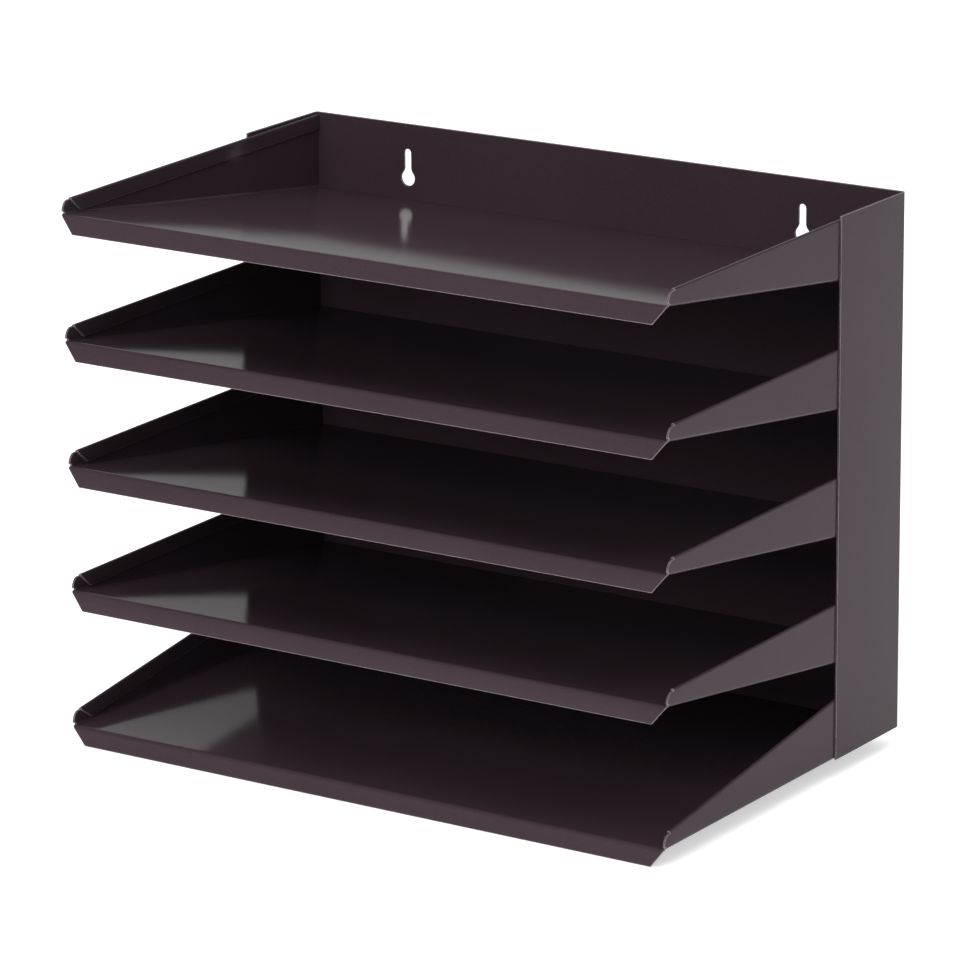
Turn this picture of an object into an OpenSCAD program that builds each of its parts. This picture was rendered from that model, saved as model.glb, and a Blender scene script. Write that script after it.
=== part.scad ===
// Desktop file sorter: a folded steel cabinet that carries five folded steel trays,
// standing on four rubber feet. Millimetres, +X to the right, +Y to the back, +Z up.
// The origin is the middle of the footprint, on the surface that the feet stand on.

/* [Cabinet] */
// Width over the two side flanges
body_w = 381; // [300:1:450]
// Height of the back panel
body_h = 298; // [298:1:340]
// Depth of the side flanges, over the back panel
flange_d = 68; // [40:1:110]
// Thickness of all the sheet steel
sheet_t = 1; // [0.8:0.1:1.2]
// Outside radius of the folds
fold_r = 2; // [1.5:0.1:3]

/* [Trays] */
// Length of a tray's floor, from the back panel to the front bend
tray_d = 240; // [180:1:280]
// Height from one tray to the next
tray_pitch = 69.8; // [60:0.1:72]
// How far the upper trays rise towards the front, in degrees
tray_tilt = 7.6; // [0:0.1:9]
// Height of a tray's side wing at the back panel
wing_rear_h = 42.3; // [30:0.1:46]
// Height of a side wing where its rounded nose starts
wing_nose_h = 8.1; // [6:0.1:14]
// Length of the nose, back from the front bend
nose_l = 4.6; // [4:0.1:12]
// How far the front lip hangs below the floor
lip_drop = 9.7; // [6:0.1:9.8]
// How far each end of the lip is cut back at its bottom edge
lip_mitre = 8.4; // [4:0.1:14]
// Width of the hem folded in along the top of a wing
hem_w = 7.5; // [4:0.1:8]
// Slant of the hem's front end, in degrees from square
hem_cut = 48; // [30:1:55]

/* [Keyholes] */
// Distance between the two keyholes
key_spacing = 255.6; // [150:0.1:300]
// Height of the head hole's centre above the cabinet's bottom edge
key_z = 267; // [200:0.1:275]
// Radius of the head hole
key_head_r = 4.5; // [4:0.1:6]
// Half the width of the neck
key_neck_r = 2.2; // [1.8:0.1:3]
// Height from the head hole's centre to the neck's top end
key_rise = 16.6; // [12:0.1:20]

/* [Feet] */
// Height of a rubber foot
foot_h = 10; // [10:0.1:14]
// Radius of a foot where it is stuck to the tray
foot_r = 8; // [6:0.1:10]
// Distance of a foot's centre from the cabinet's side
foot_inset_x = 42; // [30:1:60]
// Distance of a foot's centre from the front bend, and from the back panel
foot_inset_y = 30; // [15:1:50]

/* [Hidden] */
$fn = 48;
cabinet_colour = [0.31, 0.27, 0.29];
tray_colour = [0.27, 0.23, 0.25];
foot_colour = [0.06, 0.06, 0.06];
eps = 0.01;
back_y = (tray_d + sheet_t) / 2;       // outer face of the back panel
rear_y = back_y - sheet_t;             // inner face of the back panel
wing_x = body_w / 2 - sheet_t;         // outer face of a tray's wing
base_z = foot_h;                       // bottom edge of the cabinet
top_tray_z = body_h - wing_rear_h - 1.7; // back edge of the top tray's floor, above base_z
hem_r = sheet_t;                       // outside radius of the hem's fold
wing_slope = atan((wing_rear_h - wing_nose_h) / (tray_d - nose_l));
edge_l = (tray_d - nose_l) / cos(wing_slope);
overrun = 8;                           // sheet past the back panel, cut off square to it
bend_relief = 0.6;                     // slit between a wing's nose and the lip's bend
nose_steps = 8;

// Quarter of a round fold, in the quadrant of +X and +Y, with its centre at the origin.
module fold_section(outer_r) {
    intersection() {
        difference() {
            circle(r = outer_r);
            circle(r = outer_r - sheet_t);
        }
        square(outer_r + 1);
    }
}

// Outline of a wing: x runs from the back panel to the front, y upwards.
module wing_outline() {
    nose_top = [tray_d - nose_l, wing_nose_h];
    nose_foot = [tray_d - 0.5, fold_r - eps];
    // The nose is a quarter of an ellipse between its foot and its top.
    nose = [for (i = [0 : nose_steps])
        let (a = 90 * i / nose_steps)
        [nose_top[0] + (nose_foot[0] - nose_top[0]) * cos(a),
         nose_foot[1] + (nose_top[1] - nose_foot[1]) * sin(a)]];
    polygon(concat(
        [[-overrun, fold_r - eps]],
        nose,
        [[-overrun, wing_rear_h + overrun * tan(wing_slope)]]));
}

// One side of a tray: the wing, its fold to the floor, and the hem along its top.
// It is the +X side; the other one is its mirror image.
module tray_side() {
    // wing
    translate([wing_x, 0, 0])
        rotate([90, 0, -90])
            linear_extrude(sheet_t)
                wing_outline();
    // fold between the wing and the floor
    translate([wing_x - fold_r, overrun, fold_r])
        rotate([90, 0, 0])
            mirror([0, 1, 0])
                linear_extrude(tray_d + overrun - fold_r)
                    fold_section(fold_r);
    // hem: a round fold along the top of the wing, and the strip pressed flat inside it
    translate([wing_x - hem_r, 0, wing_rear_h])
        rotate([wing_slope, 0, 0])
            hem();
}

// The hem, with its fold's axis along -Y and starting at the back panel.
module hem() {
    hem_l = edge_l - 1.5;
    difference() {
        translate([0, overrun, 0])
            rotate([90, 0, 0])
                linear_extrude(hem_l + overrun) {
                    intersection() {
                        circle(r = hem_r, $fn = 24);
                        translate([-hem_r, -eps])
                            square([2 * hem_r, hem_r + eps]);
                    }
                    translate([-hem_r, -hem_w])
                        square([hem_r + eps, hem_w + eps]);
                }
        // The strip's front end is cut back towards its lower edge.
        translate([-hem_r - 1, -hem_l, 0])
            rotate([hem_cut, 0, 0])
                translate([0, -3 * hem_w, -3 * hem_w])
                    cube([sheet_t + 1, 3 * hem_w, 4 * hem_w]);
    }
}

// The floor and the front lip, with the lip's slanted ends.
module tray_floor() {
    floor_w = 2 * (wing_x - fold_r);
    translate([-floor_w / 2 - eps, -(tray_d - fold_r), 0])
        cube([floor_w + 2 * eps, tray_d - fold_r + overrun, sheet_t]);
    lip_w = 2 * (wing_x - bend_relief);
    lip_foot_w = 2 * (wing_x - lip_mitre);
    intersection() {
        union() {
            translate([-lip_w / 2, -(tray_d - fold_r), sheet_t - fold_r])
                rotate([90, 0, 90])
                    mirror([1, 0, 0])
                        linear_extrude(lip_w)
                            fold_section(fold_r);
            translate([-lip_w / 2, -tray_d, -lip_drop])
                cube([lip_w, sheet_t, lip_drop + sheet_t - fold_r + eps]);
        }
        translate([0, -tray_d - 1, 0])
            rotate([-90, 0, 0])
                linear_extrude(fold_r + 2)
                    polygon([[-lip_w / 2, -sheet_t - eps], [lip_w / 2, -sheet_t - eps],
                             [lip_w / 2, 0], [lip_foot_w / 2, lip_drop],
                             [-lip_foot_w / 2, lip_drop], [-lip_w / 2, 0]]);
    }
}

// A whole tray as one folded sheet, tilted and set in place.
module tray(floor_z, tilt) {
    color(tray_colour)
        intersection() {
            translate([0, rear_y, base_z + floor_z])
                rotate([-tilt, 0, 0])
                    union() {
                        tray_floor();
                        tray_side();
                        mirror([1, 0, 0])
                            tray_side();
                    }
            translate([-body_w, rear_y - 2 * tray_d, -tray_d])
                cube([2 * body_w, 2 * tray_d, body_h + 2 * tray_d]);
        }
}

function tray_z(i) = top_tray_z - (i - 1) * tray_pitch;

module tray_1_top() { tray(tray_z(1), tray_tilt); }
module tray_2() { tray(tray_z(2), tray_tilt); }
module tray_3() { tray(tray_z(3), tray_tilt); }
module tray_4() { tray(tray_z(4), tray_tilt); }
module tray_5_bottom() { tray(0, 0); }

// Outline of a keyhole, with the head hole's centre at the origin.
module keyhole_outline() {
    shoulder = 5.2;
    circle(r = key_head_r);
    translate([0, key_rise - key_neck_r])
        circle(r = key_neck_r);
    translate([-key_neck_r, 0])
        square([2 * key_neck_r, key_rise - key_neck_r]);
    polygon([[-key_head_r, 0], [key_head_r, 0], [key_neck_r, shoulder],
             [-key_neck_r, shoulder]]);
}

// Plan of the cabinet's sheet, seen from above: back panel, two folds and two flanges.
module cabinet_plan() {
    translate([-body_w / 2 + fold_r, -sheet_t])
        square([body_w - 2 * fold_r, sheet_t]);
    for (side = [0, 1])
        mirror([side, 0]) {
            translate([body_w / 2 - fold_r, -fold_r])
                fold_section(fold_r);
            translate([body_w / 2 - sheet_t, -flange_d])
                square([sheet_t, flange_d - fold_r]);
        }
}

// Back panel with its two keyholes, and the two side flanges folded forward.
module cabinet_shell() {
    color(cabinet_colour)
        translate([0, back_y, base_z])
            difference() {
                linear_extrude(body_h)
                    cabinet_plan();
                for (side = [-1, 1])
                    translate([side * key_spacing / 2, 1, key_z])
                        rotate([90, 0, 0])
                            linear_extrude(sheet_t + 2)
                                keyhole_outline();
            }
}

// A moulded rubber foot, stuck under the bottom tray.
module foot(side_x, side_y) {
    foot_y = side_y > 0 ? rear_y - foot_inset_y : rear_y - tray_d + foot_inset_y;
    bevel = 1.2;
    color(foot_colour)
        translate([side_x * (body_w / 2 - foot_inset_x), foot_y, 0])
            rotate_extrude()
                polygon([[0, 0], [foot_r - bevel - 1, 0], [foot_r - 1, bevel],
                         [foot_r, foot_h], [0, foot_h]]);
}

module foot_front_left() { foot(-1, -1); }
module foot_front_right() { foot(1, -1); }
module foot_rear_left() { foot(-1, 1); }
module foot_rear_right() { foot(1, 1); }

cabinet_shell();
tray_1_top();
tray_2();
tray_3();
tray_4();
tray_5_bottom();
foot_front_left();
foot_front_right();
foot_rear_left();
foot_rear_right();
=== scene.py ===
"""Finished look of a powder-coated steel desktop file sorter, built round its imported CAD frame."""

import logging
import math
from dataclasses import dataclass
from enum import Enum
import bmesh
import bpy
from mathutils import Matrix, Vector


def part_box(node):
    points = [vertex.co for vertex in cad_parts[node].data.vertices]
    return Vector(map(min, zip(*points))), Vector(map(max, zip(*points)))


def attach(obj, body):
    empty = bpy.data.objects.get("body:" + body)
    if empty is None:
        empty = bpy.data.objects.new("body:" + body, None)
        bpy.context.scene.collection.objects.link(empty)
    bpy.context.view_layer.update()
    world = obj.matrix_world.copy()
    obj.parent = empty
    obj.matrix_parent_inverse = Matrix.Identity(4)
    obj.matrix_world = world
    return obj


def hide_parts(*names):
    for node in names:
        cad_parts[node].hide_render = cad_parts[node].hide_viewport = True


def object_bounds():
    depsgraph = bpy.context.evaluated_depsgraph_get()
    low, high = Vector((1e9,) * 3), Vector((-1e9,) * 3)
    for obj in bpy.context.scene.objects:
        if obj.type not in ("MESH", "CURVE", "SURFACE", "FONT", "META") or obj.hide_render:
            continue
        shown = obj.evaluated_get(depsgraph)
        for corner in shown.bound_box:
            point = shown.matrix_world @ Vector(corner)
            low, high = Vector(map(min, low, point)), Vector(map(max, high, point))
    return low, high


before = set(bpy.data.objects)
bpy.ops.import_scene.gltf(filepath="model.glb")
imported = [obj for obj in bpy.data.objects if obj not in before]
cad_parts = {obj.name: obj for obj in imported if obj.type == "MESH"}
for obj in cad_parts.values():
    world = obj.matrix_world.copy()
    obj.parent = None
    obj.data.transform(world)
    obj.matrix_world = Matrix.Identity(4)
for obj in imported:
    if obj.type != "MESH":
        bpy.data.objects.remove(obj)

CAD_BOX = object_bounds()
BODY = "root"
MM = 0.001
log = logging.getLogger("file_sorter")


class Slot(Enum):
    """The record's material slots."""

    STEEL = "painted_steel"
    RUBBER = "foot_rubber"


def add_node(tree: bpy.types.NodeTree, kind: str, x: float, y: float, **values: float) -> bpy.types.Node:
    """Adds a shader node and sets its inputs.

    Args:
        tree: The node tree that gets the node.
        kind: The node's type name.
        x: Its place across the editor.
        y: Its place up the editor.
        **values: Input values, by socket name with spaces as underscores.

    Returns:
        The new node.
    """
    node = tree.nodes.new(kind)
    node.location = (x, y)
    for name, value in values.items():
        node.inputs[name.replace("_", " ")].default_value = value
    return node


def new_group(name: str, inputs: dict[str, float], outputs: tuple[str, ...]) -> bpy.types.NodeTree:
    """Starts a shader node group with a Vector input, named float inputs and float outputs.

    Args:
        name: The group's name.
        inputs: Float inputs and their default values.
        outputs: Names of the float outputs.

    Returns:
        The group, with its input and output nodes in place.
    """
    group = bpy.data.node_groups.new(name, "ShaderNodeTree")
    group.interface.new_socket("Vector", in_out="INPUT", socket_type="NodeSocketVector")
    for label, value in inputs.items():
        socket = group.interface.new_socket(label, in_out="INPUT", socket_type="NodeSocketFloat")
        socket.default_value = value
    for label in outputs:
        group.interface.new_socket(label, in_out="OUTPUT", socket_type="NodeSocketFloat")
    group.nodes.new("NodeGroupInput").location = (-900, 0)
    group.nodes.new("NodeGroupOutput").location = (700, 0)
    return group


def group_ends(group: bpy.types.NodeTree) -> tuple[bpy.types.Node, bpy.types.Node]:
    """Returns a group's input node and output node."""
    return group.nodes["Group Input"], group.nodes["Group Output"]


def powder_grain_group() -> bpy.types.NodeTree:
    """Builds the relief of a powder coat: soft orange peel with fine grain on it.

    Returns:
        The node group, with a Height output from 0 to 1.
    """
    scales = {"Peel Scale": 700.0, "Grain Scale": 3200.0, "Grain Share": 0.35}
    group = new_group("powder_grain", scales, ("Height",))
    source, sink = group_ends(group)
    link = group.links.new
    peel = add_node(group, "ShaderNodeTexNoise", -600, 200, Detail=2.0, Roughness=0.45)
    grain = add_node(group, "ShaderNodeTexNoise", -600, -120, Detail=2.0, Roughness=0.6)
    mix = add_node(group, "ShaderNodeMix", -200, 60)
    link(source.outputs["Vector"], peel.inputs["Vector"])
    link(source.outputs["Vector"], grain.inputs["Vector"])
    link(source.outputs["Peel Scale"], peel.inputs["Scale"])
    link(source.outputs["Grain Scale"], grain.inputs["Scale"])
    link(source.outputs["Grain Share"], mix.inputs["Factor"])
    link(peel.outputs["Fac"], mix.inputs["A"])
    link(grain.outputs["Fac"], mix.inputs["B"])
    link(mix.outputs["Result"], sink.inputs["Height"])
    return group


def edge_highlight_group() -> bpy.types.NodeTree:
    """Builds a mask of the edges and folds, which places a painted highlight there, broken up by noise, and
    the rounded normal that the coat has there.

    Returns:
        The node group, with an Edge output from 0 on flat sheet to 1 on an edge, where the finish paints
        its highlight, and a Rounded normal.
    """
    group = new_group("painted_edge_highlight", {"Width": 0.0006, "Break Up": 0.35}, ("Edge",))
    group.interface.new_socket("Rounded", in_out="OUTPUT", socket_type="NodeSocketVector")
    source, sink = group_ends(group)
    link = group.links.new
    bevel = group.nodes.new("ShaderNodeBevel")
    bevel.samples = 6
    geometry = add_node(group, "ShaderNodeNewGeometry", -640, -40)
    dot = add_node(group, "ShaderNodeVectorMath", -400, 160)
    dot.operation = "DOT_PRODUCT"
    # The Edge mask carries a painted highlight: it lightens the finish along edges and folds, and noise
    # breaks it up.
    ramp = add_node(group, "ShaderNodeMapRange", -200, 160)
    ramp.inputs["From Min"].default_value = 0.995
    ramp.inputs["From Max"].default_value = 0.80
    noise = add_node(group, "ShaderNodeTexNoise", -400, -200, Scale=160.0, Detail=3.0)
    keep = add_node(group, "ShaderNodeMath", -200, -200)
    keep.operation = "MULTIPLY"
    cut = add_node(group, "ShaderNodeMath", 60, 60)
    cut.operation = "SUBTRACT"
    cut.use_clamp = True
    link(source.outputs["Width"], bevel.inputs["Radius"])
    link(bevel.outputs["Normal"], dot.inputs[0])
    link(geometry.outputs["Normal"], dot.inputs[1])
    link(dot.outputs["Value"], ramp.inputs["Value"])
    link(source.outputs["Vector"], noise.inputs["Vector"])
    link(noise.outputs["Fac"], keep.inputs[0])
    link(source.outputs["Break Up"], keep.inputs[1])
    link(ramp.outputs["Result"], cut.inputs[0])
    link(keep.outputs["Value"], cut.inputs[1])
    link(cut.outputs["Value"], sink.inputs["Edge"])
    link(bevel.outputs["Normal"], sink.inputs["Rounded"])
    return group


def handling_group() -> bpy.types.NodeTree:
    """Builds slow changes of tone and gloss: an uneven coat and faint wipe marks.

    Returns:
        The node group, with Tone and Gloss outputs from 0 to 1.
    """
    group = new_group("handling", {"Patch Scale": 9.0, "Wipe Scale": 60.0}, ("Tone", "Gloss"))
    source, sink = group_ends(group)
    link = group.links.new
    patch = add_node(group, "ShaderNodeTexNoise", -500, 160, Detail=4.0, Roughness=0.55)
    stretch = add_node(group, "ShaderNodeMapping", -700, -160)
    stretch.inputs["Scale"].default_value = (0.25, 1.0, 1.6)
    wipe = add_node(group, "ShaderNodeTexNoise", -500, -160, Detail=5.0, Roughness=0.65)
    link(source.outputs["Vector"], patch.inputs["Vector"])
    link(source.outputs["Patch Scale"], patch.inputs["Scale"])
    link(source.outputs["Vector"], stretch.inputs["Vector"])
    link(stretch.outputs["Vector"], wipe.inputs["Vector"])
    link(source.outputs["Wipe Scale"], wipe.inputs["Scale"])
    link(patch.outputs["Fac"], sink.inputs["Tone"])
    link(wipe.outputs["Fac"], sink.inputs["Gloss"])
    return group


@dataclass(frozen=True)
class SharedEffects:
    """The node groups that more than one finish uses."""

    grain: bpy.types.NodeTree
    edges: bpy.types.NodeTree
    handling: bpy.types.NodeTree

    @classmethod
    def build(cls) -> "SharedEffects":
        """Builds each group once."""
        return cls(powder_grain_group(), edge_highlight_group(), handling_group())


@dataclass(frozen=True)
class CoatFinish:
    """A coated or moulded surface, made from the shared effects.

    Attributes:
        name: The material's name.
        deep: The darker base colour, linear RGB.
        light: The lighter base colour, linear RGB.
        edge: The painted highlight colour along edges and folds, linear RGB.
        gloss: Lowest and highest roughness.
        edge_roughness: Roughness along the edges and folds.
        peel_scale: Scale of the orange peel, per metre.
        grain_scale: Scale of the fine grain, per metre.
        grain_share: Share of the fine grain in the relief.
        speckle: Share of the relief in the change of tone.
        relief: Height of the relief in metres.
        relief_strength: How strongly the relief bends the light.
        edge_width: Reach of the edge mask, for the painted highlight and the rounded shading, in metres.
        shine: Specular level of the surface.
        shine_tint: Colour of its highlights seen square on, linear RGB.
    """

    name: str
    deep: tuple[float, float, float]
    light: tuple[float, float, float]
    edge: tuple[float, float, float]
    gloss: tuple[float, float]
    edge_roughness: float
    peel_scale: float = 700.0
    grain_scale: float = 3200.0
    grain_share: float = 0.35
    speckle: float = 0.55
    relief: float = 0.018 * MM
    relief_strength: float = 0.6
    edge_width: float = 0.6 * MM
    shine: float = 0.5
    shine_tint: tuple[float, float, float] = (1.0, 1.0, 1.0)

    def build(self, effects: SharedEffects) -> bpy.types.Material:
        """Builds the material.

        Args:
            effects: The shared node groups.

        Returns:
            The finished material.
        """
        material = bpy.data.materials.new(self.name)
        material.use_nodes = True
        tree = material.node_tree
        tree.nodes.clear()
        link = tree.links.new
        out = add_node(tree, "ShaderNodeOutputMaterial", 900, 0)
        surface = add_node(tree, "ShaderNodeBsdfPrincipled", 600, 0)
        surface.inputs["Specular IOR Level"].default_value = self.shine
        surface.inputs["Specular Tint"].default_value = (*self.shine_tint, 1.0)

        place = add_node(tree, "ShaderNodeTexCoord", -900, 0)
        grain = self.placed(tree, effects.grain, -600, -300)
        grain.inputs["Peel Scale"].default_value = self.peel_scale
        grain.inputs["Grain Scale"].default_value = self.grain_scale
        grain.inputs["Grain Share"].default_value = self.grain_share
        edges = self.placed(tree, effects.edges, -600, 300)
        edges.inputs["Width"].default_value = self.edge_width
        handling = self.placed(tree, effects.handling, -600, 0)
        for node in (grain, edges, handling):
            link(place.outputs["Object"], node.inputs["Vector"])

        tone = self.colour_mix(tree, -200, 200)
        tone.inputs["A"].default_value = (*self.deep, 1.0)
        tone.inputs["B"].default_value = (*self.light, 1.0)
        blend = add_node(tree, "ShaderNodeMix", -400, 200)
        blend.inputs["Factor"].default_value = self.speckle
        link(handling.outputs["Tone"], blend.inputs["A"])
        link(grain.outputs["Height"], blend.inputs["B"])
        link(blend.outputs["Result"], tone.inputs["Factor"])
        # Painted highlight: the Edge mask lightens the base colour toward the edge colour along edges and
        # folds.
        edge_lit = self.colour_mix(tree, 100, 200)
        edge_lit.inputs["B"].default_value = (*self.edge, 1.0)
        link(edges.outputs["Edge"], edge_lit.inputs["Factor"])
        link(tone.outputs["Result"], edge_lit.inputs["A"])
        link(edge_lit.outputs["Result"], surface.inputs["Base Color"])

        gloss = add_node(tree, "ShaderNodeMapRange", -200, -60)
        gloss.inputs["To Min"].default_value = self.gloss[0]
        gloss.inputs["To Max"].default_value = self.gloss[1]
        link(handling.outputs["Gloss"], gloss.inputs["Value"])
        worn = add_node(tree, "ShaderNodeMix", 100, -60)
        worn.inputs["B"].default_value = self.edge_roughness
        link(edges.outputs["Edge"], worn.inputs["Factor"])
        link(gloss.outputs["Result"], worn.inputs["A"])
        link(worn.outputs["Result"], surface.inputs["Roughness"])

        bump = add_node(tree, "ShaderNodeBump", 200, -320)
        bump.inputs["Strength"].default_value = self.relief_strength
        bump.inputs["Distance"].default_value = self.relief
        link(grain.outputs["Height"], bump.inputs["Height"])
        link(edges.outputs["Rounded"], bump.inputs["Normal"])
        link(bump.outputs["Normal"], surface.inputs["Normal"])
        link(surface.outputs["BSDF"], out.inputs["Surface"])
        return material

    @staticmethod
    def placed(
        tree: bpy.types.NodeTree, group: bpy.types.NodeTree, x: float, y: float
    ) -> bpy.types.Node:
        """Places a shared group in the material's tree and returns its node."""
        node = tree.nodes.new("ShaderNodeGroup")
        node.node_tree = group
        node.location = (x, y)
        return node

    @staticmethod
    def colour_mix(tree: bpy.types.NodeTree, x: float, y: float) -> "ColourMix":
        """Adds a colour Mix node and returns it with its colour sockets named."""
        node = tree.nodes.new("ShaderNodeMix")
        node.data_type = "RGBA"
        node.location = (x, y)
        return ColourMix(node)


class ColourMix:
    """A Mix node set to colours, with its sockets by plain name."""

    def __init__(self, node: bpy.types.Node) -> None:
        """Keeps the node's colour sockets, which share their names with its other sockets."""
        self.inputs = {"Factor": node.inputs[0], "A": node.inputs[6], "B": node.inputs[7]}
        self.outputs = {"Result": node.outputs[2]}


STEEL_COAT = CoatFinish(
    name="charcoal_powder_coat",
    deep=(0.026, 0.0165, 0.0215),
    light=(0.060, 0.0405, 0.0505),
    # edge: painted highlight along the sheets' edges and folds
    edge=(0.52, 0.45, 0.48),
    gloss=(0.08, 0.15),
    edge_roughness=0.22,
    edge_width=0.8 * MM,
    shine=0.10,
    shine_tint=(1.0, 0.86, 0.94),
)
RUBBER = CoatFinish(
    name="black_foot_rubber",
    deep=(0.012, 0.012, 0.012),
    light=(0.022, 0.021, 0.021),
    # edge: painted highlight along the feet's edges
    edge=(0.04, 0.038, 0.038),
    gloss=(0.62, 0.80),
    edge_roughness=0.7,
    peel_scale=1500.0,
    grain_scale=6000.0,
    relief=0.05 * MM,
)


def finish_piece(
    name: str, mesh: bmesh.types.BMesh, material: bpy.types.Material, node: str
) -> bpy.types.Object:
    """Turns a bmesh into a finished piece that rides on the body and stands for a CAD node.

    Args:
        name: The piece's name.
        mesh: Its shape, in metres in the shared frame. It is freed here.
        material: Its finish.
        node: The CAD node that it replaces.

    Returns:
        The new object.
    """
    data = bpy.data.meshes.new(name)
    for face in mesh.faces:
        face.smooth = True
    mesh.to_mesh(data)
    mesh.free()
    data.materials.append(material)
    piece = bpy.data.objects.new(name, data)
    bpy.context.scene.collection.objects.link(piece)
    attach(piece, BODY)
    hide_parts(node)
    log.info("%s: %d faces, stands for %s", name, len(data.polygons), node)
    return piece


@dataclass
class FoldedSheet:
    """One folded and coated steel sheet, with round folds and square cut edges.

    Attributes:
        node: The CAD node that holds the sheet's shape.
        material: Its finish.
        fold_step: Largest angle between neighbouring facets of one fold, in degrees.
        weld: Reach in metres within which the shape's loose corners are joined.
    """

    node: str
    material: bpy.types.Material
    fold_step: float = 25.0
    weld: float = 0.002 * MM

    def build(self) -> bpy.types.Object:
        """Models the sheet with its folds smooth and its cut edges crisp.

        Returns:
            The finished piece.
        """
        shape = bmesh.new()
        shape.from_mesh(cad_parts[self.node].data)
        bmesh.ops.remove_doubles(shape, verts=shape.verts, dist=self.weld)
        limit = math.radians(self.fold_step)
        for edge in shape.edges:
            edge.smooth = edge.is_manifold and edge.calc_face_angle(0.0) < limit
        return finish_piece(f"{self.node}_sheet", shape, self.material, self.node)


@dataclass
class RubberFoot:
    """A moulded rubber bumper: tapered, with a rounded rim and a shallow cup underneath.

    Attributes:
        node: The CAD node that holds the foot's place.
        material: Its finish.
        taper: How much narrower the foot is at the bottom, as a radius in metres.
        rim_round: Radius of the rim in metres.
        rim_steps: Facets across the rim.
        cup_depth: Depth of the cup in metres.
        cup_floor: Radius of the cup's floor, as a share of the foot's.
        cup_mouth: Radius of the cup's mouth, as a share of the foot's.
        top_edge: Width and height of the bevel at the top, in metres.
        steps: Facets round the foot.
        weld: Reach in metres within which the seam and the poles are closed.
    """

    node: str
    material: bpy.types.Material
    taper: float = 1.0 * MM
    rim_round: float = 1.1 * MM
    rim_steps: int = 4
    cup_depth: float = 0.8 * MM
    cup_floor: float = 0.55
    cup_mouth: float = 0.68
    top_edge: tuple[float, float] = (0.3 * MM, 0.4 * MM)
    steps: int = 48
    weld: float = 0.005 * MM

    def build(self) -> bpy.types.Object:
        """Models the foot by spinning its section.

        Returns:
            The finished piece.
        """
        low, high = (Vector(corner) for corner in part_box(self.node))
        centre = (low + high) / 2
        foot = Vector((centre.x, centre.y, low.z))
        shape = bmesh.new()
        section = self.section((high.x - low.x) / 2, high.z - low.z)
        line = [shape.verts.new(foot + Vector((out, 0, up))) for out, up in section]
        edges = [shape.edges.new(pair) for pair in zip(line, line[1:])]
        bmesh.ops.spin(
            shape, geom=line + edges, cent=foot, axis=(0, 0, 1),
            angle=2 * math.pi, steps=self.steps, use_merge=True,
        )
        bmesh.ops.remove_doubles(shape, verts=shape.verts, dist=self.weld)
        bmesh.ops.recalc_face_normals(shape, faces=shape.faces)
        return finish_piece(f"{self.node}_bumper", shape, self.material, self.node)

    def section(self, top_radius: float, height: float) -> list[tuple[float, float]]:
        """Works out half of the foot's section, from the cup's middle out and up to the top's middle.

        Args:
            top_radius: Radius where the foot meets the tray, in metres.
            height: Height of the foot in metres.

        Returns:
            Corners as distance from the axis and height, in metres.
        """
        radius = top_radius - self.taper
        bevel_out, bevel_up = self.top_edge
        turns = [math.pi / 2 * i / self.rim_steps for i in range(self.rim_steps + 1)]
        cup = [
            (0.0, self.cup_depth), (radius * self.cup_floor, self.cup_depth), (radius * self.cup_mouth, 0.0)
        ]
        rim = [
            (radius - self.rim_round * (1 - math.sin(turn)), self.rim_round * (1 - math.cos(turn)))
            for turn in turns
        ]
        top = [(top_radius, height - bevel_up), (top_radius - bevel_out, height), (0.0, height)]
        return cup + rim + top


@dataclass
class FileSorter:
    """The whole sorter.

    Attributes:
        steel: The finish of the sheets.
        rubber: The finish of the feet.
        cabinet: CAD node of the cabinet.
        trays: CAD nodes of the trays, from the top.
        feet: CAD nodes of the feet.
    """

    steel: bpy.types.Material
    rubber: bpy.types.Material
    cabinet: str = "cabinet_shell"
    trays: tuple[str, ...] = ("tray_1_top", "tray_2", "tray_3", "tray_4", "tray_5_bottom")
    feet: tuple[str, ...] = (
        "foot_front_left", "foot_front_right", "foot_rear_left", "foot_rear_right"
    )

    def build(self) -> list[bpy.types.Object]:
        """Builds every piece.

        Returns:
            The pieces, cabinet first.
        """
        sheets = [FoldedSheet(node, self.steel).build() for node in (self.cabinet, *self.trays)]
        bumpers = [RubberFoot(node, self.rubber).build() for node in self.feet]
        return sheets + bumpers


@dataclass(frozen=True)
class StudioCamera:
    """The camera: where it stands, how it is turned and how long its lens is.

    Attributes:
        place: Its position in metres.
        azimuth: Turn round the object, in degrees to the right of straight ahead.
        elevation: How far it looks down, in degrees.
        roll: Turn about its own axis, in degrees.
        focal: Focal length as a share of the picture's width.
        sensor: Sensor width in millimetres.
        far_limit: Greatest distance that it sees, in metres.
    """

    place: tuple[float, float, float]
    azimuth: float
    elevation: float
    roll: float
    focal: float
    sensor: float = 36.0
    far_limit: float = 50.0

    def build(self) -> bpy.types.Object:
        """Makes the camera and sets it as the scene's own.

        Returns:
            The camera object.
        """
        turn, tilt, roll = (math.radians(v) for v in (self.azimuth, self.elevation, self.roll))
        level = Vector((-math.sin(turn), math.cos(turn), 0))
        ahead = math.cos(tilt) * level - math.sin(tilt) * Vector((0, 0, 1))
        across = ahead.cross(Vector((0, 0, 1))).normalized()
        upward = across.cross(ahead)
        right = math.cos(roll) * across + math.sin(roll) * upward
        up = -math.sin(roll) * across + math.cos(roll) * upward
        data = bpy.data.cameras.new("studio_camera")
        data.sensor_width = self.sensor
        data.lens = self.sensor * self.focal
        data.clip_end = self.far_limit
        camera = bpy.data.objects.new("studio_camera", data)
        aim = Matrix((right, up, -ahead)).transposed().to_4x4()
        camera.matrix_world = Matrix.Translation(self.place) @ aim
        bpy.context.scene.collection.objects.link(camera)
        bpy.context.scene.camera = camera
        return camera


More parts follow.
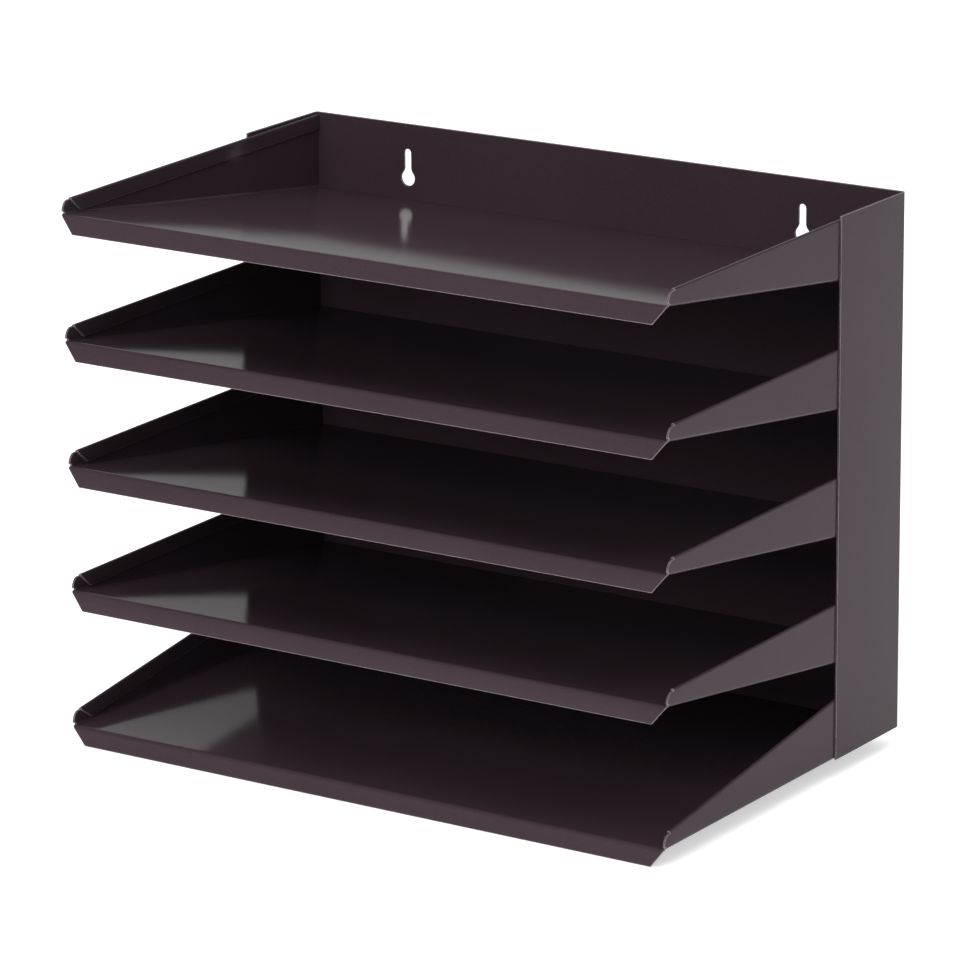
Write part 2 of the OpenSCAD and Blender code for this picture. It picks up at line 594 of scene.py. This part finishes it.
@dataclass(frozen=True)
class SoftBox:
    """A soft studio light aimed at the object's middle.

    Attributes:
        name: The light's name.
        place: Its position in metres.
        size: Width and height in metres.
        power: Watts.
    """

    name: str
    place: tuple[float, float, float]
    size: tuple[float, float]
    power: float

    def build(self, target: Vector) -> bpy.types.Object:
        """Makes the light.

        Args:
            target: The point that it faces.

        Returns:
            The light object.
        """
        data = bpy.data.lights.new(self.name, "AREA")
        data.shape = "RECTANGLE"
        data.size, data.size_y = self.size
        data.energy = self.power
        light = bpy.data.objects.new(self.name, data)
        light.location = self.place
        light.rotation_euler = (target - Vector(self.place)).to_track_quat("-Z", "Y").to_euler()
        bpy.context.scene.collection.objects.link(light)
        return light


@dataclass(frozen=True)
class Studio:
    """A pale floor, a white surround and soft lights.

    Attributes:
        floor_size: Side of the floor in metres.
        floor_glow: Strength of the floor's own light, which keeps it pale far from the lights.
        floor_tone: Grey level of the floor, linear.
        surround: Strength of the white surround as it is seen.
        fill: Strength of the surround as it lights the object and is mirrored in it.
        lights: The soft boxes.
    """

    floor_size: float = 60.0
    floor_glow: float = 0.52
    floor_tone: float = 0.97
    surround: float = 1.1
    fill: float = 0.52
    lights: tuple[SoftBox, ...] = ()

    def build(self) -> None:
        """Makes the floor, the surround and the lights."""
        self.make_floor()
        self.make_surround()
        low, high = (Vector(corner) for corner in CAD_BOX)
        middle = (low + high) / 2
        for light in self.lights:
            light.build(middle)

    def make_floor(self) -> None:
        """Makes the plain pale floor."""
        shape = bmesh.new()
        bmesh.ops.create_grid(shape, x_segments=1, y_segments=1, size=self.floor_size / 2)
        data = bpy.data.meshes.new("studio_floor")
        shape.to_mesh(data)
        shape.free()
        material = bpy.data.materials.new("pale_floor")
        material.use_nodes = True
        surface = material.node_tree.nodes["Principled BSDF"]
        surface.inputs["Base Color"].default_value = (*[self.floor_tone] * 3, 1.0)
        surface.inputs["Roughness"].default_value = 0.9
        surface.inputs["Specular IOR Level"].default_value = 0.1
        surface.inputs["Emission Color"].default_value = (1.0, 1.0, 1.0, 1.0)
        surface.inputs["Emission Strength"].default_value = self.floor_glow
        data.materials.append(material)
        floor = bpy.data.objects.new("studio_floor", data)
        bpy.context.scene.collection.objects.link(floor)

    def make_surround(self) -> None:
        """Makes the white surround, which lights and mirrors less than it shows."""
        world = bpy.data.worlds.new("studio_surround")
        world.use_nodes = True
        tree = world.node_tree
        shade = tree.nodes["Background"]
        shade.inputs["Color"].default_value = (1.0, 1.0, 1.0, 1.0)
        path = add_node(tree, "ShaderNodeLightPath", -600, 0)
        level = add_node(tree, "ShaderNodeMapRange", -300, 0)
        level.inputs["To Min"].default_value = self.fill
        level.inputs["To Max"].default_value = self.surround
        tree.links.new(path.outputs["Is Camera Ray"], level.inputs["Value"])
        tree.links.new(level.outputs["Result"], shade.inputs["Strength"])
        bpy.context.scene.world = world


CAMERA = StudioCamera(
    place=(1.634859, -2.46572, 0.994678),
    azimuth=33.56,
    elevation=15.956,
    roll=-0.403,
    focal=5.948,
)
STUDIO = Studio(
    lights=(
        SoftBox("top_box", (0.3, -0.4, 2.6), (2.4, 2.4), 24.0),
        SoftBox("front_box", (0.2, -2.8, 1.3), (1.6, 1.2), 42.0),
        SoftBox("rear_box", (-1.6, 3.0, 3.0), (3.0, 3.0), 24.0),
    ),
)


def main() -> None:
    """Builds the camera, the studio and the sorter."""
    logging.basicConfig(level=logging.INFO, format="%(name)s: %(message)s")
    bpy.context.scene.view_settings.view_transform = "Standard"
    CAMERA.build()
    STUDIO.build()
    effects = SharedEffects.build()
    pieces = FileSorter(STEEL_COAT.build(effects), RUBBER.build(effects)).build()
    log.info("%d pieces built", len(pieces))


if __name__ == "__main__":
    main()
